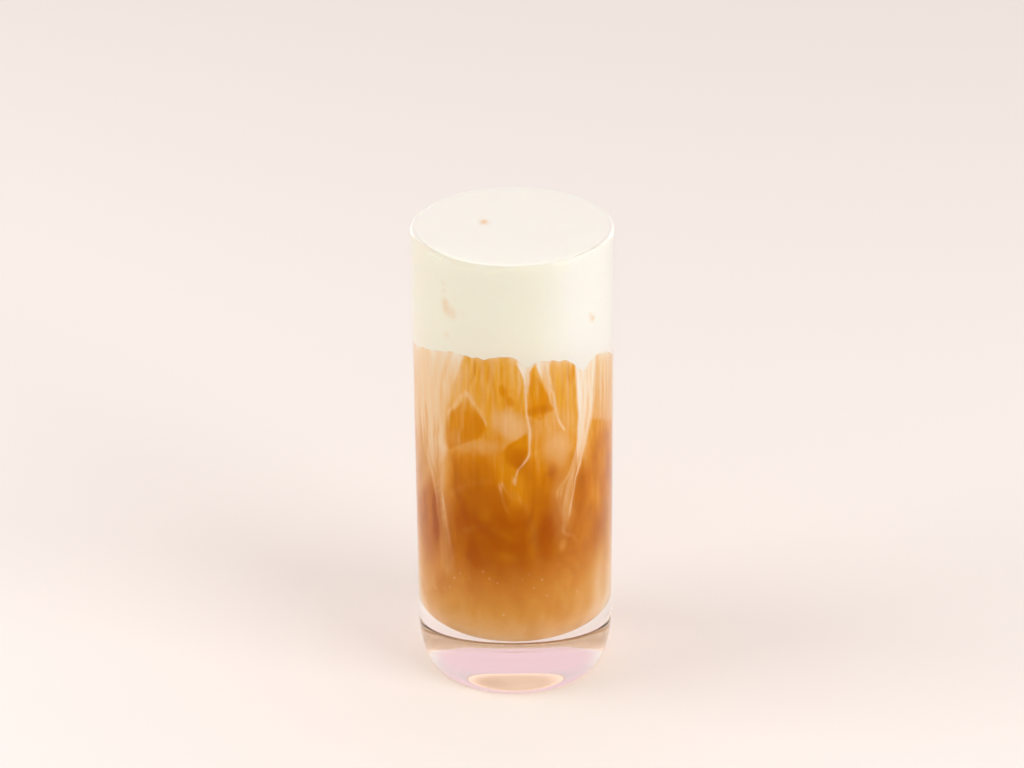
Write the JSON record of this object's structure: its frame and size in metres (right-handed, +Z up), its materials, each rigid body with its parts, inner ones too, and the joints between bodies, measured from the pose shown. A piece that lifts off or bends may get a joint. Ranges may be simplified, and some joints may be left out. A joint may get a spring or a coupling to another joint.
{
  "type": "salted foam oolong tea",
  "caption": "Tall straight clear glass with a thick rounded base, filled with iced milky oolong tea under a deep, level layer of salted milk foam.",
  "frame": {"origin": "middle of the foot, on the surface that the glass stands on", "axes": "+Z up along the glass's axis, -Y towards the front that the picture shows"},
  "size_m": [0.0622, 0.0622, 0.1501],
  "materials": {
    "clear_glass": "clear polished soda-lime glass",
    "milky_tea": "cloudy amber liquid, smooth and wet",
    "milk_foam": "fine smooth cream foam, soft satin"
  },
  "bodies": {
    "root": {"glass": "clear_glass", "tea": "milky_tea", "foam": "milk_foam"}
  },
  "joints": []
}
